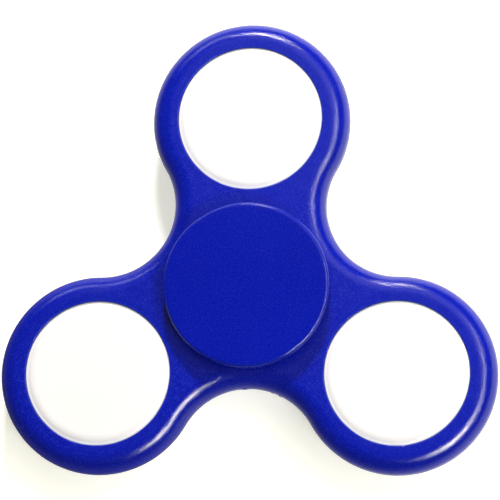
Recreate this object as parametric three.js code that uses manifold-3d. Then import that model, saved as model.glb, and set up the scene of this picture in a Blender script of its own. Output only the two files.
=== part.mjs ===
// Three-lobed fidget spinner.
//
// The frame of the model: millimetres, +Z up along the spin axis, origin on the
// spin axis at the middle of the thickness, one lobe towards +Y and the other
// two towards -X-Y and +X-Y. The spinner lies on its lower finger pad.
//
// A moulded frame with rounded edges carries a steel puck and two white domed
// discs in each lobe, and a deep-groove ball bearing in the middle. Two finger
// pads plug into the bearing's bore from either side, so that the frame turns
// round them with the bearing's outer race.

import * as THREE from 'three';
import { mergeVertices } from 'three/addons/utils/BufferGeometryUtils.js';
import Module from 'manifold-3d';

// ---- driving dimensions (mm) ----------------------------------------------

// frame
const LOBE_COUNT = 3;
const LOBE_DISTANCE = 26.26;      // spin axis to the middle of a lobe
const LOBE_RADIUS = 15.2;         // outer radius of a lobe
const BAY_RADIUS = 11.0;          // hollow radius between two lobes
const FRAME_THICKNESS = 6.4;
const FRAME_EDGE_RADIUS = 2.9;    // rounding of the outer edge, top and bottom

// lobe seats, discs and weights
const SEAT_DIAMETER = 22.1;       // the recess that holds a white disc
const SEAT_DEPTH = 1.3;
const DISC_DIAMETER = 22.0;
const DISC_CROWN = 3.3;           // height of the disc's middle above the mid-plane
const DISC_EDGE = 2.86;           // height of the disc's rim above the mid-plane
const WEIGHT_DIAMETER = 19.4;
const WEIGHT_THICKNESS = 3.7;
const WEIGHT_BORE = 19.5;         // the through hole between the two recesses

// bearing, 8 x 22 x 7
const BEARING_BORE = 8.0;
const BEARING_OD = 22.0;
const BEARING_WIDTH = 7.0;
const BEARING_SEAT = 22.08;       // the frame's bore for the bearing
const BALL_COUNT = 7;
const BALL_DIAMETER = 3.969;
const BALL_CIRCLE = 15.0;         // pitch circle diameter
const GROOVE_RADIUS = 2.06;       // raceway groove
const OUTER_GROOVE_BOTTOM = 9.53; // raceway radii at the middle of the grooves
const INNER_GROOVE_BOTTOM = 5.47;
const OUTER_LAND_RADIUS = 9.05;
const INNER_LAND_RADIUS = 6.0;
const RACE_CHAMFER = 0.3;
const CAGE_INNER_RADIUS = 6.5;
const CAGE_OUTER_RADIUS = 8.5;
const CAGE_THICKNESS = 0.35;
const CAGE_POCKET_RADIUS = 2.12;
const CAGE_SPLIT = 0.02;          // half the gap between the cage's two halves
const SHIELD_INNER_RADIUS = 6.3;
const SHIELD_OUTER_RADIUS = 9.72;
const SHIELD_THICKNESS = 0.3;
const SHIELD_SEAT_RADIUS = 9.78;
const SHIELD_SEAT_HEIGHT = 2.8;   // the step in the outer race above the mid-plane

// finger pads
const PAD_DIAMETER = 25.3;
const PAD_TOP = 6.1;              // face above the mid-plane
const PAD_UNDERSIDE = 3.6;        // lower edge above the mid-plane
const PAD_EDGE_RADIUS = 0.4;
const PAD_RECESS_RADIUS = 11.5;   // the hollow that clears the outer race
const PAD_RECESS_HEIGHT = 4.1;
const PAD_BOSS_RADIUS = 5.6;      // sits on the inner race
const PAD_BOSS_GAP = 0.02;
const STEM_DIAMETER = 7.92;       // plugs into the bearing's bore
const STEM_END = 0.4;             // the stem's end above the mid-plane
const STEM_HOLLOW_RADIUS = 2.4;
const STEM_HOLLOW_TOP = 3.0;

// ---- materials -------------------------------------------------------------

const blue = () => new THREE.MeshStandardMaterial({ color: 0x121fa6, roughness: 0.38, metalness: 0 });
const padBlue = () => new THREE.MeshStandardMaterial({ color: 0x0b1c9f, roughness: 0.55, metalness: 0 });
const white = () => new THREE.MeshStandardMaterial({ color: 0xf6f6f2, roughness: 0.3, metalness: 0 });
const bearingSteel = () => new THREE.MeshStandardMaterial({ color: 0xb9bcc0, roughness: 0.25, metalness: 1 });
const sheetSteel = () => new THREE.MeshStandardMaterial({ color: 0xa9acb0, roughness: 0.4, metalness: 1 });
const weightSteel = () => new THREE.MeshStandardMaterial({ color: 0x8d9093, roughness: 0.5, metalness: 1 });

// ---- helpers ---------------------------------------------------------------

const wasm = await Module();
wasm.setup();

// keeps only the positions and merges the shared vertices
function weld(geometry) {
  const g = geometry.clone();
  for (const name of Object.keys(g.attributes)) if (name !== 'position') g.deleteAttribute(name);
  return mergeVertices(g, 1e-5);
}

// six times the signed volume is positive when the faces point out
function signedVolume(geometry) {
  const p = geometry.attributes.position;
  const index = geometry.index.array;
  const [a, b, c] = [new THREE.Vector3(), new THREE.Vector3(), new THREE.Vector3()];
  let volume = 0;
  for (let i = 0; i < index.length; i += 3) {
    a.fromBufferAttribute(p, index[i]);
    b.fromBufferAttribute(p, index[i + 1]);
    c.fromBufferAttribute(p, index[i + 2]);
    volume += a.dot(b.cross(c));
  }
  return volume;
}

// drops slivers that have lost an edge and turns the faces outwards
function tidy(geometry) {
  const g = weld(geometry);
  const keep = [];
  const index = g.index.array;
  for (let i = 0; i < index.length; i += 3) {
    const [a, b, c] = [index[i], index[i + 1], index[i + 2]];
    if (a !== b && b !== c && c !== a) keep.push(a, b, c);
  }
  g.setIndex(keep);
  if (signedVolume(g) < 0) {
    for (let i = 0; i < keep.length; i += 3) [keep[i + 1], keep[i + 2]] = [keep[i + 2], keep[i + 1]];
    g.setIndex(keep);
  }
  return g;
}

function toManifold(geometry) {
  const g = tidy(geometry);
  return new wasm.Manifold(new wasm.Mesh({
    numProp: 3,
    vertProperties: new Float32Array(g.attributes.position.array),
    triVerts: new Uint32Array(g.index.array),
  }));
}

function fromManifold(solid) {
  const mesh = solid.getMesh();
  const g = new THREE.BufferGeometry();
  const position = new Float32Array(mesh.numVert * 3);
  for (let i = 0; i < mesh.numVert; i++) {
    for (let k = 0; k < 3; k++) position[3 * i + k] = mesh.vertProperties[mesh.numProp * i + k];
  }
  g.setAttribute('position', new THREE.BufferAttribute(position, 3));
  g.setIndex(Array.from(mesh.triVerts));
  return g;
}

// a body turned about Z from [radius, height] pairs; a profile off the axis closes on itself
function turned(profile, segments) {
  const points = profile.map(([r, z]) => new THREE.Vector2(r, z));
  const first = profile[0];
  const last = profile[profile.length - 1];
  if (first[0] > 0 || last[0] > 0) points.push(new THREE.Vector2(...first));
  const g = new THREE.LatheGeometry(points, segments);
  g.rotateX(Math.PI / 2);
  return tidy(g);
}

// mirrors a body in the mid-plane
function underside(geometry) {
  const g = geometry.clone();
  g.scale(1, 1, -1);
  return tidy(g);
}

function arc(cx, cz, radius, from, to, steps) {
  const points = [];
  for (let i = 0; i <= steps; i++) {
    const t = THREE.MathUtils.degToRad(from + ((to - from) * i) / steps);
    points.push([cx + radius * Math.cos(t), cz + radius * Math.sin(t)]);
  }
  return points;
}

const group = new THREE.Group();
group.name = 'fidget_spinner';

function add(name, geometry, material, x = 0, y = 0, z = 0) {
  geometry.computeVertexNormals();
  const mesh = new THREE.Mesh(geometry, material);
  mesh.name = name;
  mesh.position.set(x, y, z);
  group.add(mesh);
  return mesh;
}

const lobeAngles = Array.from({ length: LOBE_COUNT }, (_, i) => Math.PI / 2 + (i * 2 * Math.PI) / LOBE_COUNT);
const lobeCentres = lobeAngles.map((a) => [LOBE_DISTANCE * Math.cos(a), LOBE_DISTANCE * Math.sin(a)]);

// ---- frame -----------------------------------------------------------------

// The outline is three outward arcs joined by three hollow arcs, each tangent to its neighbours.
function frameOutline() {
  const reach = LOBE_RADIUS + BAY_RADIUS;
  const bayDistance = (LOBE_DISTANCE + Math.sqrt(LOBE_DISTANCE ** 2 - 4 * (LOBE_DISTANCE ** 2 - reach ** 2))) / 2;
  const points = [];
  const step = THREE.MathUtils.degToRad(7.5);
  for (const a of lobeAngles) {
    const lobe = new THREE.Vector2(LOBE_DISTANCE * Math.cos(a), LOBE_DISTANCE * Math.sin(a));
    const bay = new THREE.Vector2(bayDistance * Math.cos(a + Math.PI / 3), bayDistance * Math.sin(a + Math.PI / 3));
    const toBay = bay.clone().sub(lobe);
    // half the angle that the lobe's arc spans, measured from the lobe's own direction
    let half = Math.atan2(toBay.y, toBay.x) - a;
    while (half < 0) half += 2 * Math.PI;
    const whole = Math.floor(half / step - 0.15);
    const angles = [-half];
    for (let k = -whole; k <= whole; k++) angles.push(k * step);
    angles.push(half);
    for (const t of angles) {
      points.push(new THREE.Vector2(lobe.x + LOBE_RADIUS * Math.cos(a + t), lobe.y + LOBE_RADIUS * Math.sin(a + t)));
    }
    // the hollow arc, without its two ends, which the lobes' arcs already hold
    const start = Math.atan2(lobe.y - bay.y, lobe.x - bay.x);
    const nextAngle = a + (2 * Math.PI) / LOBE_COUNT;
    const next = new THREE.Vector2(LOBE_DISTANCE * Math.cos(nextAngle), LOBE_DISTANCE * Math.sin(nextAngle));
    let end = Math.atan2(next.y - bay.y, next.x - bay.x);
    while (end > start) end -= 2 * Math.PI;
    const steps = 9;
    for (let i = 1; i < steps; i++) {
      const t = start + ((end - start) * i) / steps;
      points.push(new THREE.Vector2(bay.x + BAY_RADIUS * Math.cos(t), bay.y + BAY_RADIUS * Math.sin(t)));
    }
  }
  return points;
}

const blank = new THREE.ExtrudeGeometry(new THREE.Shape(frameOutline()), {
  depth: FRAME_THICKNESS - 2 * FRAME_EDGE_RADIUS,
  bevelEnabled: true,
  bevelThickness: FRAME_EDGE_RADIUS,
  bevelSize: FRAME_EDGE_RADIUS,
  bevelOffset: -FRAME_EDGE_RADIUS,
  bevelSegments: 4,
  steps: 1,
});
blank.translate(0, 0, -(FRAME_THICKNESS / 2 - FRAME_EDGE_RADIUS));

const half = FRAME_THICKNESS / 2;
let frame = toManifold(blank);

const bearingBore = new THREE.CylinderGeometry(BEARING_SEAT / 2, BEARING_SEAT / 2, FRAME_THICKNESS + 2, 56);
bearingBore.rotateX(Math.PI / 2);
frame = frame.subtract(toManifold(bearingBore));

// each lobe is cut right through for the weight and stepped on both faces for the discs
const lobeCut = turned([
  [0, -half - 1],
  [SEAT_DIAMETER / 2, -half - 1],
  [SEAT_DIAMETER / 2, -half + SEAT_DEPTH],
  [WEIGHT_BORE / 2, -half + SEAT_DEPTH],
  [WEIGHT_BORE / 2, half - SEAT_DEPTH],
  [SEAT_DIAMETER / 2, half - SEAT_DEPTH],
  [SEAT_DIAMETER / 2, half + 1],
  [0, half + 1],
], 40);
for (const [x, y] of lobeCentres) {
  const cut = lobeCut.clone();
  cut.translate(x, y, 0);
  frame = frame.subtract(toManifold(cut));
}
add('spinner_frame', fromManifold(frame), blue());

// ---- discs and weights in the lobes ----------------------------------------

const discRadius = DISC_DIAMETER / 2;
const discFoot = half - SEAT_DEPTH + 0.02;
const disc = turned([
  [0, discFoot],
  [discRadius, discFoot],
  [discRadius, DISC_EDGE],
  [discRadius - 0.2, DISC_EDGE + 0.21],
  [discRadius - 1.0, DISC_EDGE + 0.35],
  [0, DISC_CROWN],
], 36);

const weightRadius = WEIGHT_DIAMETER / 2;
const weightHalf = WEIGHT_THICKNESS / 2;
const weight = turned([
  [0, -weightHalf],
  [weightRadius - 0.3, -weightHalf],
  [weightRadius, -weightHalf + 0.3],
  [weightRadius, weightHalf - 0.3],
  [weightRadius - 0.3, weightHalf],
  [0, weightHalf],
], 32);

lobeCentres.forEach(([x, y], i) => {
  add(`lobe_disc_top_${i + 1}`, disc.clone(), white(), x, y);
  add(`lobe_disc_bottom_${i + 1}`, underside(disc), white(), x, y);
  add(`lobe_weight_${i + 1}`, weight.clone(), weightSteel(), x, y);
});

// ---- bearing ---------------------------------------------------------------

const halfWidth = BEARING_WIDTH / 2;
const outerRadius = BEARING_OD / 2;

const outerGrooveCentre = OUTER_GROOVE_BOTTOM - GROOVE_RADIUS;
const outerLip = THREE.MathUtils.radToDeg(Math.acos((OUTER_LAND_RADIUS - outerGrooveCentre) / GROOVE_RADIUS));
add('bearing_outer_race', turned([
  [outerRadius - RACE_CHAMFER, -halfWidth],
  [outerRadius, -halfWidth + RACE_CHAMFER],
  [outerRadius, halfWidth - RACE_CHAMFER],
  [outerRadius - RACE_CHAMFER, halfWidth],
  [SHIELD_SEAT_RADIUS, halfWidth],
  [SHIELD_SEAT_RADIUS, SHIELD_SEAT_HEIGHT],
  [OUTER_LAND_RADIUS, SHIELD_SEAT_HEIGHT],
  ...arc(outerGrooveCentre, 0, GROOVE_RADIUS, outerLip, -outerLip, 4),
  [OUTER_LAND_RADIUS, -SHIELD_SEAT_HEIGHT],
  [SHIELD_SEAT_RADIUS, -SHIELD_SEAT_HEIGHT],
  [SHIELD_SEAT_RADIUS, -halfWidth],
], 40), bearingSteel());

const innerGrooveCentre = INNER_GROOVE_BOTTOM + GROOVE_RADIUS;
const innerLip = THREE.MathUtils.radToDeg(Math.acos((innerGrooveCentre - INNER_LAND_RADIUS) / GROOVE_RADIUS));
const boreRadius = BEARING_BORE / 2;
add('bearing_inner_race', turned([
  [boreRadius + RACE_CHAMFER, -halfWidth],
  [INNER_LAND_RADIUS - RACE_CHAMFER / 2, -halfWidth],
  [INNER_LAND_RADIUS, -halfWidth + RACE_CHAMFER / 2],
  ...arc(innerGrooveCentre, 0, GROOVE_RADIUS, 180 + innerLip, 180 - innerLip, 4),
  [INNER_LAND_RADIUS, halfWidth - RACE_CHAMFER / 2],
  [INNER_LAND_RADIUS - RACE_CHAMFER / 2, halfWidth],
  [boreRadius + RACE_CHAMFER, halfWidth],
  [boreRadius, halfWidth - RACE_CHAMFER],
  [boreRadius, -halfWidth + RACE_CHAMFER],
], 36), bearingSteel());

const ballAngles = Array.from({ length: BALL_COUNT }, (_, i) => Math.PI / 2 + (i * 2 * Math.PI) / BALL_COUNT);
ballAngles.forEach((a, i) => {
  const ball = new THREE.SphereGeometry(BALL_DIAMETER / 2, 12, 8);
  ball.rotateX(Math.PI / 2);
  add(`bearing_ball_${i + 1}`, tidy(ball), bearingSteel(), (BALL_CIRCLE / 2) * Math.cos(a), (BALL_CIRCLE / 2) * Math.sin(a));
});

// One pressed half of the cage: a flat ribbon that arches over each ball.
function cageHalf() {
  const perBall = 10;
  const stations = BALL_COUNT * perBall;
  const pitch = (2 * Math.PI) / BALL_COUNT;
  const lowest = (s) => {
    const d = Math.abs(s) * (BALL_CIRCLE / 2);
    const arch = d < CAGE_POCKET_RADIUS ? Math.sqrt(CAGE_POCKET_RADIUS ** 2 - d * d) : 0;
    return Math.max(CAGE_SPLIT, arch);
  };
  const highest = (s) => {
    const d = Math.abs(s) * (BALL_CIRCLE / 2);
    const r = CAGE_POCKET_RADIUS + CAGE_THICKNESS;
    const arch = d < r ? Math.sqrt(r * r - d * d) : 0;
    return Math.max(CAGE_SPLIT + CAGE_THICKNESS, arch);
  };
  const position = [];
  const index = [];
  for (let i = 0; i < stations; i++) {
    // the offset from the nearest ball, in radians
    const k = i % perBall;
    const s = (k / perBall - 0.5) * pitch;
    const angle = ballAngles[0] - pitch / 2 + (i / perBall) * pitch;
    const [low, high] = [lowest(s), highest(s)];
    for (const [r, z] of [[CAGE_INNER_RADIUS, low], [CAGE_OUTER_RADIUS, low], [CAGE_OUTER_RADIUS, high], [CAGE_INNER_RADIUS, high]]) {
      position.push(r * Math.cos(angle), r * Math.sin(angle), z);
    }
    const j = (i + 1) % stations;
    for (let c = 0; c < 4; c++) {
      const d = (c + 1) % 4;
      index.push(4 * i + c, 4 * i + d, 4 * j + d, 4 * i + c, 4 * j + d, 4 * j + c);
    }
  }
  const g = new THREE.BufferGeometry();
  g.setAttribute('position', new THREE.Float32BufferAttribute(position, 3));
  g.setIndex(index);
  return tidy(g);
}
add('bearing_cage_upper', cageHalf(), sheetSteel());
add('bearing_cage_lower', underside(cageHalf()), sheetSteel());

const shieldLow = SHIELD_SEAT_HEIGHT + 0.02;
const shield = turned([
  [SHIELD_INNER_RADIUS, shieldLow],
  [SHIELD_OUTER_RADIUS, shieldLow],
  [SHIELD_OUTER_RADIUS, shieldLow + SHIELD_THICKNESS + 0.15],
  [SHIELD_OUTER_RADIUS - 0.5, shieldLow + SHIELD_THICKNESS + 0.15],
  [SHIELD_OUTER_RADIUS - 0.8, shieldLow + SHIELD_THICKNESS],
  [SHIELD_INNER_RADIUS, shieldLow + SHIELD_THICKNESS],
], 36);
add('bearing_shield_top', shield.clone(), sheetSteel());
add('bearing_shield_bottom', underside(shield), sheetSteel());

// ---- finger pads -----------------------------------------------------------

const padRadius = PAD_DIAMETER / 2;
const stemRadius = STEM_DIAMETER / 2;
const pad = turned([
  [0, STEM_HOLLOW_TOP],
  [STEM_HOLLOW_RADIUS, STEM_HOLLOW_TOP],
  [STEM_HOLLOW_RADIUS, STEM_END],
  [stemRadius - 0.35, STEM_END],
  [stemRadius, STEM_END + 0.5],
  [stemRadius, halfWidth + PAD_BOSS_GAP],
  [PAD_BOSS_RADIUS, halfWidth + PAD_BOSS_GAP],
  [PAD_BOSS_RADIUS, PAD_RECESS_HEIGHT],
  [PAD_RECESS_RADIUS, PAD_RECESS_HEIGHT],
  [PAD_RECESS_RADIUS, PAD_UNDERSIDE],
  [padRadius - 0.15, PAD_UNDERSIDE],
  [padRadius, PAD_UNDERSIDE + 0.15],
  ...arc(padRadius - PAD_EDGE_RADIUS, PAD_TOP - PAD_EDGE_RADIUS, PAD_EDGE_RADIUS, 0, 90, 2),
  [0, PAD_TOP],
], 48);
add('finger_cap_top', pad.clone(), padBlue());
add('finger_cap_bottom', underside(pad), padBlue());

export default group;
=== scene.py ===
import math

import bpy
import numpy as np
from mathutils import Matrix, Vector, noise
from mathutils.geometry import delaunay_2d_cdt


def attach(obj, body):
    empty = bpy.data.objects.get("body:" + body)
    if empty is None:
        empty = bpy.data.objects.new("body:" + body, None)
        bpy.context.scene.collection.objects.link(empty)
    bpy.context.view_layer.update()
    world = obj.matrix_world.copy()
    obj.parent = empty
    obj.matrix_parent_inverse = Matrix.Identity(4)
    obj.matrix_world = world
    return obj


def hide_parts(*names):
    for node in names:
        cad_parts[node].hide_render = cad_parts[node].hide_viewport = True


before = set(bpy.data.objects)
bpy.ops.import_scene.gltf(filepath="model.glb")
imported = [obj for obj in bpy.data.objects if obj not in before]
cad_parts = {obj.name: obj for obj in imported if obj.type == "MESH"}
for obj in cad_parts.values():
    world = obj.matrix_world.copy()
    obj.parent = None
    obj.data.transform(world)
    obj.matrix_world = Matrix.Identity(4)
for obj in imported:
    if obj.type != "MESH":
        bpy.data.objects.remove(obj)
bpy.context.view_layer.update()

MM = 0.001

# ---------------------------------------------------------------------------
# dimensions, in millimetres, as in the CAD model
# ---------------------------------------------------------------------------
LOBE_D, LOBE_R, BAY_R = 26.26, 15.2, 11.0
HALF, EDGE_R = 3.2, 2.9
PAD_R, PAD_TOP, PAD_LOW = 12.65, 6.1, 3.6
LOBE_ANGLES = [math.radians(90 + 120 * i) for i in range(3)]
LOBES = [(LOBE_D * math.cos(a), LOBE_D * math.sin(a)) for a in LOBE_ANGLES]
BALLS = [math.radians(90 + 360 * i / 7) for i in range(7)]


# ---------------------------------------------------------------------------
# mesh helpers
# ---------------------------------------------------------------------------
def make(name, verts, faces, body, slot, *nodes, smooth=True):
    """A mesh from millimetre vertices that rides on a body and stands for CAD nodes."""
    me = bpy.data.meshes.new(name)
    me.from_pydata([(x * MM, y * MM, z * MM) for x, y, z in verts], [], faces)
    me.validate()
    me.update()
    volume = 0.0
    for p in me.polygons:
        vs = [me.vertices[i].co for i in p.vertices]
        for k in range(1, len(vs) - 1):
            volume += vs[0].dot(vs[k].cross(vs[k + 1]))
    if volume < 0:
        me.flip_normals()
    if smooth:
        me.polygons.foreach_set("use_smooth", [True] * len(me.polygons))
    o = bpy.data.objects.new(name, me)
    bpy.context.scene.collection.objects.link(o)
    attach(o, body)
    if nodes:
        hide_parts(*nodes)
    return o


def sharpen(o, degrees):
    """Marks edges over an angle sharp, so that curved faces are smooth and corners crisp."""
    me = o.data
    limit = math.radians(degrees)
    normals = [p.normal.copy() for p in me.polygons]
    owners = {}
    for p in me.polygons:
        for k in p.edge_keys:
            owners.setdefault(k, []).append(p.index)
    sharp = [False] * len(me.edges)
    for e in me.edges:
        f = owners.get(tuple(sorted(e.vertices)), [])
        if len(f) == 2 and normals[f[0]].angle(normals[f[1]], 0.0) > limit:
            sharp[e.index] = True
    attribute = me.attributes.get("sharp_edge") or me.attributes.new("sharp_edge", "BOOLEAN", "EDGE")
    attribute.data.foreach_set("value", sharp)


def ring_loft(rings, closed=True):
    """Quads between rings of equal length; closed joins the last ring to the first."""
    verts, faces = [], []
    n = len(rings[0])
    for r in rings:
        verts.extend(r)
    m = len(rings)
    for i in range(m if closed else m - 1):
        a, b = i * n, ((i + 1) % m) * n
        for k in range(n):
            q = (k + 1) % n
            faces.append((a + k, a + q, b + q, b + k))
    return verts, faces


def revolve(profile, segments, centre=(0.0, 0.0), wobble=None):
    """A turned solid from (r, z) pairs. Points on the axis are poles; a profile off the axis closes on itself."""
    verts, faces = [], []
    index = []
    for j, (r, z) in enumerate(profile):
        if r < 1e-9:
            index.append([len(verts)])
            verts.append((centre[0], centre[1], z))
        else:
            row = []
            for k in range(segments):
                t = 2 * math.pi * k / segments
                dr, dz = wobble(j, t) if wobble else (0.0, 0.0)
                row.append(len(verts))
                verts.append((centre[0] + (r + dr) * math.cos(t), centre[1] + (r + dr) * math.sin(t), z + dz))
            index.append(row)
    count = len(profile)
    loop = profile[0][0] > 1e-9 and profile[-1][0] > 1e-9
    for j in range(count if loop else count - 1):
        a, b = index[j], index[(j + 1) % count]
        for k in range(segments):
            q = (k + 1) % segments
            if len(a) == 1 and len(b) == 1:
                continue
            if len(a) == 1:
                faces.append((a[0], b[q], b[k]))
            elif len(b) == 1:
                faces.append((a[k], a[q], b[0]))
            else:
                faces.append((a[k], a[q], b[q], b[k]))
    return verts, faces


def arc(cx, cz, r, a0, a1, n):
    return [(cx + r * math.cos(math.radians(a0 + (a1 - a0) * i / n)),
             cz + r * math.sin(math.radians(a0 + (a1 - a0) * i / n))) for i in range(n + 1)]


def mirror(profile):
    return [(r, -z) for r, z in profile]


# ---------------------------------------------------------------------------
# the outline of the frame: three outward arcs and three hollow ones, all tangent
# ---------------------------------------------------------------------------
REACH = LOBE_R + BAY_R
BAY_D = (LOBE_D + math.sqrt(LOBE_D ** 2 - 4 * (LOBE_D ** 2 - REACH ** 2))) / 2
LOBE_STEPS, BAY_STEPS = 120, 56


def outline():
    """Points as (centre x, centre y, direction x, direction y, sign, radius): an inset by d is radius - sign * d."""
    out = []
    for a in LOBE_ANGLES:
        lx, ly = LOBE_D * math.cos(a), LOBE_D * math.sin(a)
        bx, by = BAY_D * math.cos(a + math.pi / 3), BAY_D * math.sin(a + math.pi / 3)
        half = (math.atan2(by - ly, bx - lx) - a) % (2 * math.pi)
        # multiples of 2 degrees, so that the lobe's farthest points are vertices, then its ends
        step = math.radians(2)
        whole = int(half / step - 0.3)
        angles = [-half] + [k * step for k in range(-whole, whole + 1)] + [half]
        for t in angles:
            out.append((lx, ly, math.cos(a + t), math.sin(a + t), 1, LOBE_R))
        start = math.atan2(ly - by, lx - bx)
        nx, ny = LOBE_D * math.cos(a + 2 * math.pi / 3), LOBE_D * math.sin(a + 2 * math.pi / 3)
        end = math.atan2(ny - by, nx - bx)
        while end > start:
            end -= 2 * math.pi
        for i in range(1, BAY_STEPS):
            t = start + (end - start) * i / BAY_STEPS
            out.append((bx, by, math.cos(t), math.sin(t), -1, BAY_R))
    return out


OUT = outline()


def inset(d, z):
    """The outline drawn in by d, at height z."""
    ring = []
    for k, (cx, cy, ux, uy, s, r) in enumerate(OUT):
        dd = d(k) if callable(d) else d
        rr = r - s * dd
        ring.append((cx + rr * ux, cy + rr * uy, z))
    return ring


def outline_xy(k):
    cx, cy, ux, uy, s, r = OUT[k]
    return cx + r * ux, cy + r * uy


# ---------------------------------------------------------------------------
# spinner_frame: one moulding with full rounded edges, a parting line and a gate mark
# ---------------------------------------------------------------------------
def flash(k):
    """How far the parting line stands out of the wall, in mm: a fine, slightly uneven line."""
    x, y = outline_xy(k)
    wave = noise.noise(Vector((x * 0.9, y * 0.9, 3.7)))
    fine = noise.noise(Vector((x * 4.0, y * 4.0, 9.1)))
    return 0.022 + 0.006 * wave + 0.006 * fine


def gate(k):
    """The trimmed gate and its two flash nicks, in the lower bay."""
    x, y = outline_xy(k)
    if y > -10 or abs(x) > 8:
        return 0.0
    out = 0.0
    for x0, w, h in ((-0.55, 0.62, 0.11), (3.55, 0.16, 0.07), (4.75, 0.2, 0.09)):
        t = abs(x - x0) / w
        if t < 1:
            out = max(out, h * (1 - t ** 4))
    return out


BASE_IN = 0.03        # the wall lies this far inside the crest of the parting line


def build_frame():
    top = [(EDGE_R + 0.30, HALF)]
    for i in range(0, 17):
        t = math.radians(90 * i / 16)
        d = EDGE_R - (EDGE_R - BASE_IN) * math.sin(t)
        top.append((d, (HALF - EDGE_R) + EDGE_R * math.cos(t)))
    # straight band and parting line
    band = [(BASE_IN, 0.11)]
    rings = [inset(d, z) for d, z in top] + [inset(d, z) for d, z in band]
    crest = lambda k: BASE_IN - flash(k) - gate(k)
    rings.append(inset(crest, 0.055))
    rings.append(inset(crest, -0.03))
    rings += [inset(d, -z) for d, z in reversed(band)] + [inset(d, -z) for d, z in reversed(top)]
    verts, faces = ring_loft(rings, closed=False)
    n = len(OUT)
    last = (len(rings) - 1) * n

    # seats and the bearing bore: each is a stack of rings from the top land to the bottom land
    def hole(cx, cy, profile, segments):
        rows = []
        for r, z in profile:
            row = []
            for k in range(segments):
                t = 2 * math.pi * k / segments
                row.append(len(verts))
                verts.append((cx + r * math.cos(t), cy + r * math.sin(t), z))
            rows.append(row)
        for i in range(len(rows) - 1):
            for k in range(segments):
                q = (k + 1) % segments
                faces.append((rows[i][k], rows[i][q], rows[i + 1][q], rows[i + 1][k]))
        return rows[0], rows[-1]

    lip = 0.16
    seat = [(11.04 + lip + 0.12, HALF), (11.04 + lip, HALF)]
    seat += [(11.04 + lip - lip * math.sin(math.radians(a)), HALF - lip + lip * math.cos(math.radians(a))) for a in (18, 36, 54, 72, 90)]
    seat += [(11.04, 1.96), (11.0, 1.9), (9.85, 1.9), (9.75, 1.8)]
    seat = seat + mirror(seat)[::-1]
    bore = [(11.04 + 0.42, HALF), (11.04 + 0.30, HALF), (11.04 + 0.02, HALF - 0.28), (11.04, HALF - 0.34)]
    bore = bore + mirror(bore)[::-1]
    tops, bottoms = [], []
    for cx, cy in LOBES:
        t, b = hole(cx, cy, seat, 180)
        tops.append(t)
        bottoms.append(b)
    t, b = hole(0, 0, bore, 144)
    tops.append(t)
    bottoms.append(b)

    def land(outer, holes, z):
        loops = [outer] + holes
        pts, edges, owner = [], [], []
        for loop in loops:
            start = len(pts)
            for i, v in enumerate(loop):
                pts.append(Vector((verts[v][0], verts[v][1])))
                owner.append(v)
                edges.append((start + i, start + (i + 1) % len(loop)))
        co, _, tris, orig, _, _ = delaunay_2d_cdt(pts, edges, [], 0, 1e-7, True)
        keep = []
        for tri in tris:
            c = sum((co[i] for i in tri), Vector((0, 0))) / 3
            inside_hole = any((c.x - x) ** 2 + (c.y - y) ** 2 < r * r for x, y, r in HOLES)
            if not inside_hole and in_outline(c, OUTER):
                keep.append(tuple(owner[orig[i][0]] for i in tri))
        faces.extend(keep)

    HOLES = [(x, y, seat[0][0] * math.cos(math.pi / 180)) for x, y in LOBES] + [(0, 0, bore[0][0] * math.cos(math.pi / 144))]
    OUTER = [(verts[k][0], verts[k][1]) for k in range(n)]
    land(list(range(n)), tops, HALF)
    land([last + k for k in range(n)], bottoms, -HALF)
    return verts, faces


def in_outline(c, poly):
    inside = False
    j = len(poly) - 1
    for i in range(len(poly)):
        xi, yi = poly[i]
        xj, yj = poly[j]
        if (yi > c.y) != (yj > c.y) and c.x < (xj - xi) * (c.y - yi) / (yj - yi) + xi:
            inside = not inside
        j = i
    return inside


def face_the_same_way(o):
    import bmesh
    bm = bmesh.new()
    bm.from_mesh(o.data)
    bmesh.ops.recalc_face_normals(bm, faces=bm.faces)
    bm.to_mesh(o.data)
    bm.free()
    o.data.polygons.foreach_set("use_smooth", [True] * len(o.data.polygons))


verts, faces = build_frame()
frame_piece = make("frame_moulding", verts, faces, "spinner", "frame_blue", "spinner_frame")
face_the_same_way(frame_piece)
sharpen(frame_piece, 40)


def rubbing_and_edge_highlight(o, amount):
    """Stores how exposed each point is to rubbing, from 0 to 1, for the materials' rubbed, lighter edges; that
    lighter colour is partly a painted highlight on lit edges.
    """
    a = o.data.attributes.new("rubbing_and_edge_highlight", "FLOAT", "POINT")
    a.data.foreach_set("value", [amount(v.co / MM) for v in o.data.vertices])


def frame_rubbing_and_edge_highlight(p):
    # 0.4 on the seat lips, where the lighter colour is partly a painted highlight on the lit lip; 0.45 along the
    # parting line
    lip = min(abs(math.hypot(p.x - x, p.y - y) - 11.12) for x, y in LOBES)
    if abs(p.z) > 3.02 and lip < 0.09:
        return 0.4
    return 0.45 if abs(p.z) < 0.06 else 0.0


rubbing_and_edge_highlight(frame_piece, frame_rubbing_and_edge_highlight)

# ---------------------------------------------------------------------------
# white lobe discs
# ---------------------------------------------------------------------------
def disc_profile():
    r = 11.0
    p = [(0, 1.93), (r - 0.25, 1.93), (r - 0.05, 1.97), (r, 2.08), (r, 2.84), (r - 0.02, 2.89), (r - 0.06, 2.91), (r - 0.30, 2.93)]
    # a narrow flange, then a rounded step up to a very shallow dome
    for i in range(15):
        rr = 10.65 - 1.45 * i / 14
        p.append((rr, 3.225 - 0.28 * ((rr - 9.2) / 1.45) ** 2.6))
    for rr in (8.4, 6.8, 4.8, 2.4):
        p.append((rr, 3.3 - 0.075 * (rr / 9.2) ** 2.0))
    p.append((0, 3.3))
    return p


discs = []
for i, (cx, cy) in enumerate(LOBES):
    for side, prof in (("top", disc_profile()), ("bottom", mirror(disc_profile()))):
        v, f = revolve(prof, 180, (cx, cy))
        o = make(f"disc_{side}_{i + 1}", v, f, "spinner", "disc_white", f"lobe_disc_{side}_{i + 1}")
        face_the_same_way(o)
        sharpen(o, 50)
        discs.append(o)

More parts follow.
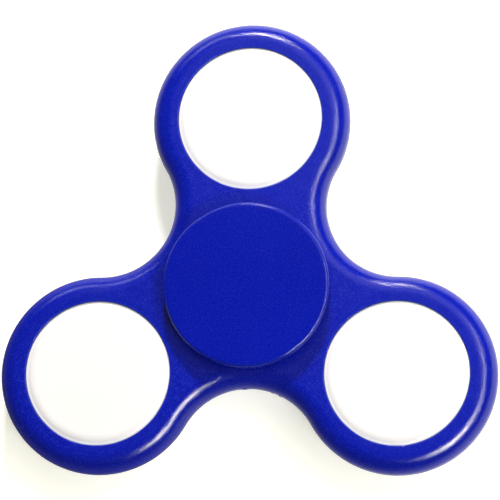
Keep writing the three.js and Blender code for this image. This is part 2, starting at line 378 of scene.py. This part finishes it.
# steel weights between the discs
weights = []
for i, (cx, cy) in enumerate(LOBES):
    p = [(0, -1.85), (9.1, -1.85), (9.5, -1.83), (9.65, -1.7), (9.7, -1.5), (9.7, 1.5), (9.65, 1.7), (9.5, 1.83), (9.1, 1.85), (0, 1.85)]
    v, f = revolve(p, 96, (cx, cy))
    o = make(f"weight_puck_{i + 1}", v, f, "spinner", "weight_steel", f"lobe_weight_{i + 1}")
    face_the_same_way(o)
    sharpen(o, 50)
    weights.append(o)

# ---------------------------------------------------------------------------
# finger pads
# ---------------------------------------------------------------------------
def pad_profile():
    p = [(0, 3.0), (2.3, 3.0), (2.4, 2.9), (2.4, 0.5), (2.5, 0.4), (3.55, 0.4), (3.75, 0.5), (3.94, 0.9), (3.96, 1.1), (3.96, 3.52),
         (5.5, 3.52), (5.6, 3.6), (5.6, 4.0), (5.7, 4.1), (11.3, 4.1), (11.5, 3.95), (11.5, 3.68), (11.58, 3.6)]
    lower = 0.14
    p += [(PAD_R - lower, PAD_LOW)]
    p += [(PAD_R - lower + lower * math.sin(math.radians(a)), PAD_LOW + lower - lower * math.cos(math.radians(a))) for a in (25, 50, 75, 90)]
    p += [(PAD_R - 0.005, 4.2), (PAD_R - 0.01, 5.15)]
    e = 0.56
    p += arc(PAD_R - e - 0.01, PAD_TOP - e, e, 0, 90, 9)
    p += [(PAD_R - e - 0.25, PAD_TOP), (6.0, PAD_TOP), (0, PAD_TOP)]
    return p


def pad_wobble(profile, side):
    """Uneven moulding flash along the pad's lower edge."""
    def f(j, t):
        r, z = profile[j]
        if r > PAD_R - 0.16 and abs(z) < PAD_LOW + 0.2:
            n = noise.noise(Vector((math.cos(t) * 26, math.sin(t) * 26, 4.0 + side)))
            m = noise.noise(Vector((math.cos(t) * 70, math.sin(t) * 70, 8.0 + side)))
            return (-0.018 + 0.018 * max(-1, min(1, 1.6 * n)) * 0.6 - 0.012 * abs(m), side * 0.03 * m)
        return (0.0, 0.0)
    return f


pads = []
for name, node, prof, side in (("pad_top", "finger_cap_top", pad_profile(), 1), ("pad_bottom", "finger_cap_bottom", mirror(pad_profile()), -1)):
    v, f = revolve(prof, 360, wobble=pad_wobble(prof, side))
    o = make(name, v, f, "hub", "pad_blue", node)
    face_the_same_way(o)
    sharpen(o, 50)
    # the pad's top fillet is marked 0.2: slightly smoother, and lighter in colour, which is partly a painted
    # highlight on the lit edge
    rubbing_and_edge_highlight(o, lambda p: 0.2 if math.hypot(p.x, p.y) > PAD_R - 0.42 and PAD_TOP - 0.42 < abs(p.z) < PAD_TOP - 0.004 else 0.0)
    pads.append(o)

# ---------------------------------------------------------------------------
# bearing
# ---------------------------------------------------------------------------
GROOVE = 2.06
oc, ic = 9.53 - GROOVE, 5.47 + GROOVE
o_lip = math.degrees(math.acos((9.05 - oc) / GROOVE))
i_lip = math.degrees(math.acos((ic - 6.0) / GROOVE))
outer = arc(10.7, 3.2, 0.3, 90, 0, 5) + arc(10.7, -3.2, 0.3, 0, -90, 5)
outer += [(9.85, -3.5), (9.78, -3.43), (9.78, -2.8), (9.12, -2.8), (9.05, -2.73)]
outer += arc(oc, 0, GROOVE, -o_lip, o_lip, 20)
outer += [(9.05, 2.73), (9.12, 2.8), (9.78, 2.8), (9.78, 3.43), (9.85, 3.5)]
inner = arc(4.3, -3.2, 0.3, 180, 270, 5) + arc(5.85, -3.35, 0.15, -90, 0, 3)
inner += arc(ic, 0, GROOVE, 180 + i_lip, 180 - i_lip, 20)
inner += arc(5.85, 3.35, 0.15, 0, 90, 3) + arc(4.3, 3.2, 0.3, 90, 180, 5)
v, f = revolve(outer, 144)
race_out = make("race_outer", v, f, "spinner", "bearing_steel", "bearing_outer_race")
v, f = revolve(inner, 144)
race_in = make("race_inner", v, f, "hub", "bearing_steel", "bearing_inner_race")
balls = []
for i, a in enumerate(BALLS):
    r = 1.98
    p = [(0, -r)] + [(r * math.cos(math.radians(-90 + 180 * k / 24)), r * math.sin(math.radians(-90 + 180 * k / 24))) for k in range(1, 24)] + [(0, r)]
    v, f = revolve(p, 48, (7.5 * math.cos(a), 7.5 * math.sin(a)))
    balls.append(make(f"ball_{i + 1}", v, f, f"ball_{i + 1}", "bearing_steel", f"bearing_ball_{i + 1}"))

shields = []
for side, s in (("top", 1), ("bottom", -1)):
    p = [(6.3, 2.82), (6.9, 2.82), (7.15, 2.9), (8.75, 2.9), (8.95, 2.82), (9.62, 2.82), (9.72, 2.92), (9.72, 3.27), (9.6, 3.27), (9.3, 3.12),
         (9.05, 3.12), (8.85, 3.2), (7.05, 3.2), (6.85, 3.12), (6.3, 3.12)]
    p = [(r, z * s) for r, z in p]
    v, f = revolve(p, 144)
    shields.append(make(f"shield_{side}", v, f, "spinner", "sheet_steel", f"bearing_shield_{side}"))


def cage(s):
    """A pressed ribbon that arches over each ball, with a rivet head on each flat between them."""
    per = 40
    total = 7 * per
    pitch = 2 * math.pi / 7
    R0, T = 2.12, 0.35
    rings = []
    for i in range(total):
        off = ((i % per) / per - 0.5) * pitch
        ang = BALLS[0] - pitch / 2 + i / per * pitch
        d = abs(off) * 7.5
        soft = lambda r: math.sqrt(max(0.0, r * r - d * d))
        low = max(0.02, soft(R0))
        high = max(0.02 + T, soft(R0 + T))
        ring = []
        for r, z in ((6.52, low), (8.48, low), (8.5, (low + high) / 2), (8.48, high), (6.52, high), (6.5, (low + high) / 2)):
            ring.append((r * math.cos(ang), r * math.sin(ang), z * s))
        rings.append(ring)
    verts, faces = ring_loft(rings, closed=True)
    for a in BALLS:
        b = a + pitch / 2
        c = (7.5 * math.cos(b), 7.5 * math.sin(b))
        head = [(0, 0.30), (0.42, 0.30), (0.42, 0.37), (0.38, 0.5), (0.26, 0.6), (0, 0.64)]
        rv, rf = revolve([(r, z * s) for r, z in head], 20, c)
        base = len(verts)
        verts.extend(rv)
        faces.extend(tuple(base + q for q in face) for face in rf)
    return verts, faces


cages = []
for side, s in (("upper", 1), ("lower", -1)):
    v, f = cage(s)
    cages.append(make(f"cage_{side}", v, f, "ball_cage", "sheet_steel", f"bearing_cage_{side}"))

for o in [race_out, race_in] + shields + cages:
    face_the_same_way(o)
    sharpen(o, 35)


# ---------------------------------------------------------------------------
# materials
# ---------------------------------------------------------------------------
class Mat:
    def __init__(self, name):
        self.m = bpy.data.materials.new(name)
        self.m.use_nodes = True
        self.t = self.m.node_tree
        self.t.nodes.clear()
        self.out = self.t.nodes.new("ShaderNodeOutputMaterial")
        self.b = self.t.nodes.new("ShaderNodeBsdfPrincipled")
        self.t.links.new(self.b.outputs[0], self.out.inputs[0])
        self.coord = self.t.nodes.new("ShaderNodeTexCoord").outputs["Object"]

    def node(self, kind, **values):
        n = self.t.nodes.new(kind)
        for k, v in values.items():
            if hasattr(n, k) and k not in n.inputs:
                setattr(n, k, v)
            else:
                n.inputs[k].default_value = v
        return n

    def link(self, a, b):
        self.t.links.new(a, b)

    def noise(self, scale, detail=2.0, rough=0.5, distort=0.0):
        n = self.node("ShaderNodeTexNoise")
        n.inputs["Scale"].default_value = scale
        n.inputs["Detail"].default_value = detail
        n.inputs["Roughness"].default_value = rough
        n.inputs["Distortion"].default_value = distort
        self.link(self.coord, n.inputs["Vector"])
        return n.outputs["Fac"]

    def span(self, value, a, b, lo, hi):
        n = self.node("ShaderNodeMapRange")
        n.inputs["From Min"].default_value = a
        n.inputs["From Max"].default_value = b
        n.inputs["To Min"].default_value = lo
        n.inputs["To Max"].default_value = hi
        self.link(value, n.inputs["Value"])
        return n.outputs["Result"]

    def math(self, op, a, b=None):
        n = self.node("ShaderNodeMath")
        n.operation = op
        for i, x in enumerate((a, b)):
            if x is None:
                continue
            if isinstance(x, (int, float)):
                n.inputs[i].default_value = x
            else:
                self.link(x, n.inputs[i])
        return n.outputs[0]

    def mix(self, fac, a, b):
        n = self.node("ShaderNodeMix")
        n.data_type = "RGBA"
        if isinstance(fac, (int, float)):
            n.inputs[0].default_value = fac
        else:
            self.link(fac, n.inputs[0])
        for i, x in ((6, a), (7, b)):
            if isinstance(x, tuple):
                n.inputs[i].default_value = (*x, 1.0)
            else:
                self.link(x, n.inputs[i])
        return n.outputs[2]

    def bump(self, height, distance, strength=1.0, normal=None):
        n = self.node("ShaderNodeBump")
        n.inputs["Strength"].default_value = strength
        n.inputs["Distance"].default_value = distance
        self.link(height, n.inputs["Height"])
        if normal is not None:
            self.link(normal, n.inputs["Normal"])
        return n.outputs["Normal"]

    def set(self, **values):
        for k, v in values.items():
            self.b.inputs[k].default_value = v
        return self


def put(mat, *objects):
    for o in objects:
        o.data.materials.clear()
        o.data.materials.append(mat.m)


def blue_plastic(name, base, light, dark, rough, rough_span, fine, wave, gloss):
    """Pigmented ABS: slight colour drift, rubbed and lighter edges (the lighter colour partly a painted highlight on
    lit edges), a fine moulded grain.
    """
    m = Mat(name)
    drift = m.span(m.noise(45, 3.0, 0.55), 0.3, 0.7, 0.0, 1.0)
    c = m.mix(drift, dark, base)
    speck = m.span(m.noise(3600, 2.0, 0.6), 0.46, 0.74, 0.0, 0.55)
    c = m.mix(speck, c, light)
    rubbing_and_highlight = m.node("ShaderNodeAttribute")
    rubbing_and_highlight.attribute_name = "rubbing_and_edge_highlight"
    edge = m.math("MULTIPLY", rubbing_and_highlight.outputs["Fac"], 0.75)
    patch = m.span(m.noise(900, 3.0, 0.6), 0.3, 0.7, 0.35, 1.0)
    # painted highlight in part: marked edges are mixed towards this lighter blue, standing for lit edges as well as
    # rubbing
    c = m.mix(m.math("MULTIPLY", edge, patch), c, (0.020, 0.060, 0.50))
    m.link(c, m.b.inputs["Base Color"])
    r = m.span(m.noise(240, 4.0, 0.6), 0.3, 0.7, rough - rough_span, rough + rough_span)
    # rubbed edges are smoother
    m.link(m.math("SUBTRACT", r, m.math("MULTIPLY", rubbing_and_highlight.outputs["Fac"], 0.22)), m.b.inputs["Roughness"])
    n1 = m.bump(m.noise(420, 2.0, 0.5), wave)
    n2 = m.bump(m.noise(5600, 1.0, 0.5), fine, normal=n1)
    m.link(n2, m.b.inputs["Normal"])
    m.set(IOR=1.5)
    m.b.inputs["Specular IOR Level"].default_value = gloss
    return m


blue_frame = blue_plastic("blue_moulding", (0.0003, 0.0060, 0.318), (0.012, 0.030, 0.46), (0.0001, 0.0048, 0.280), 0.15, 0.025, 0.000034, 0.0000035, 0.46)
blue_pad = blue_plastic("blue_pad", (0.0001, 0.0050, 0.292), (0.004, 0.022, 0.42), (0.0001, 0.0038, 0.262), 0.15, 0.025, 0.000018, 0.000004, 0.38)
put(blue_frame, frame_piece)
put(blue_pad, *pads)

white = Mat("white_disc")
tone = white.span(white.noise(60, 3.0, 0.5), 0.3, 0.7, 0.0, 1.0)
white.link(white.mix(tone, (0.805, 0.801, 0.770), (0.822, 0.818, 0.790)), white.b.inputs["Base Color"])
white.link(white.span(white.noise(300, 3.0, 0.5), 0.3, 0.7, 0.295, 0.385), white.b.inputs["Roughness"])
white.link(white.bump(white.noise(900, 2.0, 0.5), 0.000004), white.b.inputs["Normal"])
white.set(IOR=1.48)
put(white, *discs)


def steel(name, colour, dark, rough, grain, brushed):
    m = Mat(name)
    tone = m.span(m.noise(700, 3.0, 0.6), 0.3, 0.7, 0.0, 1.0)
    m.link(m.mix(tone, dark, colour), m.b.inputs["Base Color"])
    if brushed:
        # turned or pressed metal: fine rings round the spin axis
        sep = m.node("ShaderNodeSeparateXYZ")
        m.link(m.coord, sep.inputs[0])
        rr = m.math("SQRT", m.math("ADD", m.math("MULTIPLY", sep.outputs[0], sep.outputs[0]), m.math("MULTIPLY", sep.outputs[1], sep.outputs[1])))
        ring = m.math("SINE", m.math("MULTIPLY", rr, 60000.0))
        h = m.math("ADD", m.math("MULTIPLY", ring, 0.35), m.noise(2500, 3.0, 0.6))
    else:
        h = m.noise(2500, 3.0, 0.6)
    m.link(m.span(m.noise(500, 3.0, 0.6), 0.3, 0.7, rough - 0.05, rough + 0.08), m.b.inputs["Roughness"])
    m.link(m.bump(h, grain), m.b.inputs["Normal"])
    m.set(Metallic=1.0)
    return m


put(steel("ground_steel", (0.74, 0.75, 0.77), (0.66, 0.67, 0.69), 0.16, 0.0000008, True), race_out, race_in)
put(steel("ball_steel", (0.78, 0.79, 0.80), (0.72, 0.73, 0.75), 0.08, 0.0000004, False), *balls)
put(steel("sheet_steel", (0.62, 0.63, 0.65), (0.52, 0.53, 0.55), 0.33, 0.000002, True), *shields, *cages)
put(steel("weight_steel", (0.50, 0.50, 0.51), (0.38, 0.38, 0.39), 0.42, 0.000004, True), *weights)

# ---------------------------------------------------------------------------
# floor, light and camera
# ---------------------------------------------------------------------------
scene = bpy.context.scene
me = bpy.data.meshes.new("floor")
z = -6.12 * MM
me.from_pydata([(-3, -3, z), (3, -3, z), (3, 3, z), (-3, 3, z)], [], [(0, 1, 2, 3)])
floor = bpy.data.objects.new("floor", me)
scene.collection.objects.link(floor)
floor.visible_glossy = False        # the dark surroundings show in the rims, not the bright paper
fm = Mat("floor_paper")
fm.link(fm.mix(fm.span(fm.noise(30, 3.0, 0.5), 0.3, 0.7, 0, 1), (0.885, 0.88, 0.85), (0.90, 0.895, 0.865)), fm.b.inputs["Base Color"])
fm.set(Roughness=0.8)
# the paper glows faintly round the object, as if lit through, and not further out
fm.b.inputs["Emission Color"].default_value = (1.0, 0.995, 0.77, 1.0)
far = fm.node("ShaderNodeVectorMath", operation="LENGTH")
fm.link(fm.coord, far.inputs[0])
fm.link(fm.span(far.outputs["Value"], 0.050, 0.120, 0.54, 0.06), fm.b.inputs["Emission Strength"])
fm.b.inputs["Specular Level" if "Specular Level" in fm.b.inputs else "Specular IOR Level"].default_value = 0.1
# seen from underneath, the paper is clear, so the underside of the object can be looked at
side = fm.node("ShaderNodeNewGeometry")
clear = fm.node("ShaderNodeBsdfTransparent")
both = fm.node("ShaderNodeMixShader")
surface = next(n for n in fm.m.node_tree.nodes if n.type == "OUTPUT_MATERIAL").inputs["Surface"]
fm.link(side.outputs["Backfacing"], both.inputs[0])
fm.link(fm.b.outputs[0], both.inputs[1])
fm.link(clear.outputs[0], both.inputs[2])
fm.link(both.outputs[0], surface)
put(fm, floor)

# what the rims mirror instead of the paper: dim in front of the object, paler behind it and to its right
card = bpy.data.objects.new("mirror_card", me.copy())
card.data.name = "mirror_card"
scene.collection.objects.link(card)
card.visible_camera = card.visible_diffuse = card.visible_shadow = card.visible_transmission = False
cm = Mat("mirror_card")
cm.b.inputs["Base Color"].default_value = (0, 0, 0, 1)
cm.b.inputs["Emission Color"].default_value = (1.0, 0.96, 1.0, 1.0)
across = cm.node("ShaderNodeVectorMath", operation="DOT_PRODUCT")
cm.link(cm.coord, across.inputs[0])
across.inputs[1].default_value = (0.75, 0.66, 0.0)
cm.link(cm.span(across.outputs["Value"], -0.030, 0.045, 0.16, 1.60), cm.b.inputs["Emission Strength"])
put(cm, card)


def lamp(name, azimuth, elevation, distance, size, power, colour=(1, 1, 1), shape="SQUARE", size_y=None, target=(0, 0, 0), spin=0.0):
    data = bpy.data.lights.new(name, "AREA")
    data.energy = power
    data.color = colour
    if size_y is not None:
        data.shape = "RECTANGLE"
        data.size, data.size_y = size, size_y
    else:
        data.shape = "DISK"
        data.size = size
    o = bpy.data.objects.new(name, data)
    a, e = math.radians(azimuth), math.radians(elevation)
    d = Vector((math.cos(a) * math.cos(e), math.sin(a) * math.cos(e), math.sin(e)))
    o.location = Vector(target) + d * distance
    q = (-d).to_track_quat("-Z", "Y")
    o.rotation_mode = "QUATERNION"
    from mathutils import Quaternion
    o.rotation_quaternion = q @ Quaternion((0, 0, 1), math.radians(spin))
    scene.collection.objects.link(o)
    return o


# a hard light behind the object, a thin strip down its right-hand side, and a soft fill above
lamp("key_back", 88, 34, 0.50, 0.080, 2.65, (1.0, 0.96, 0.98), size_y=0.034).visible_glossy = False
lamp("key_back_gloss", 88, 34, 0.50, 0.080, 0.70, (1.0, 0.96, 0.98), size_y=0.034).visible_diffuse = False
# a small near lamp behind the top lobe gives that lobe its bright patch
lamp("near_gloss", 88, 34, 0.15, 0.024, 0.15, (1.0, 0.96, 0.98), size_y=0.010, target=(0.0, 0.026, 0.003)).visible_diffuse = False
lamp("soft_back", 62, 58, 0.60, 0.50, 0.62, (1.0, 0.985, 0.95), size_y=0.40)
lamp("fill_back", 116, 27, 0.55, 0.20, 0.34, (0.96, 0.97, 1.0), size_y=0.10)
# the strip is a chain of narrow lamps, and each one's twin adds to the gloss only
for name, az, el, long, narrow, power, extra in (
        ("strip_1", 22, 51, 0.13, 0.013, 0.36, 0.14),
        ("strip_2", -5, 50, 0.15, 0.012, 0.26, 0.28),
        ("strip_3", -28, 48, 0.15, 0.012, 0.34, 1.05),
        ("strip_4", -50, 46, 0.13, 0.013, 0.84, 0.95)):
    lamp(name, az, el, 0.50, long, power, (1.0, 0.98, 0.965), size_y=narrow)
    lamp(name + "_gloss", az, el, 0.50, long, extra, (1.0, 0.98, 0.98), size_y=narrow).visible_diffuse = False
lamp("spark_gloss", -41, 47, 0.50, 0.11, 0.45, (1.0, 0.98, 1.0), size_y=0.024).visible_diffuse = False

world = bpy.data.worlds.new("studio")
scene.world = world
world.use_nodes = True
wt = world.node_tree
wt.nodes.clear()
wo = wt.nodes.new("ShaderNodeOutputWorld")
bg = wt.nodes.new("ShaderNodeBackground")
bg.inputs["Color"].default_value = (1.0, 0.985, 0.93, 1)
bg.inputs["Strength"].default_value = 0.10
wt.links.new(bg.outputs[0], wo.inputs[0])

cam_data = bpy.data.cameras.new("camera")
cam = bpy.data.objects.new("camera", cam_data)
scene.collection.objects.link(cam)
cam_data.sensor_fit = "HORIZONTAL"
cam_data.sensor_width = 36.0
cam_data.lens = 274.9595
cam_data.clip_start, cam_data.clip_end = 0.01, 20.0
cam.matrix_world = Matrix((
    (0.994978587, 0.003969609, 0.10000927, 0.058333374),
    (0.01348349, 0.984788387, -0.17323403, -0.094845823),
    (-0.099175639, 0.173712625, 0.979789833, 0.572088444),
    (0.0, 0.0, 0.0, 1.0)))
scene.camera = cam

scene.view_settings.view_transform = "Standard"
scene.view_settings.look = "None"
